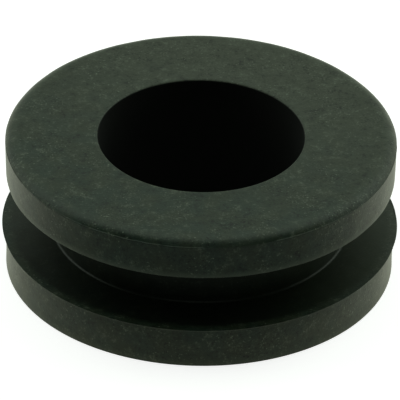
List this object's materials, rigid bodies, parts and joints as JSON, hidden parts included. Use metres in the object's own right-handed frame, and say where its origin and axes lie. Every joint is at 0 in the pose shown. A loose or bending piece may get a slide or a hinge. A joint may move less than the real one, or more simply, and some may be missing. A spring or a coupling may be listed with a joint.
{
  "type": "rubber grommet",
  "caption": "Open round rubber grommet: flat flanges on a short neck, a groove between them for a panel's edge and a plain through hole for a cable.",
  "frame": {"origin": "centre of the lower flange's foot, on the axis of the cable hole", "axes": "+Z along the axis, from the lower flange to the upper one; round about Z, so X and Y are any two directions across it"},
  "size_m": [0.027, 0.027, 0.0101],
  "materials": {
    "rubber": "matte, moulded"
  },
  "bodies": {
    "root": {"grommet": "rubber"}
  },
  "joints": []
}
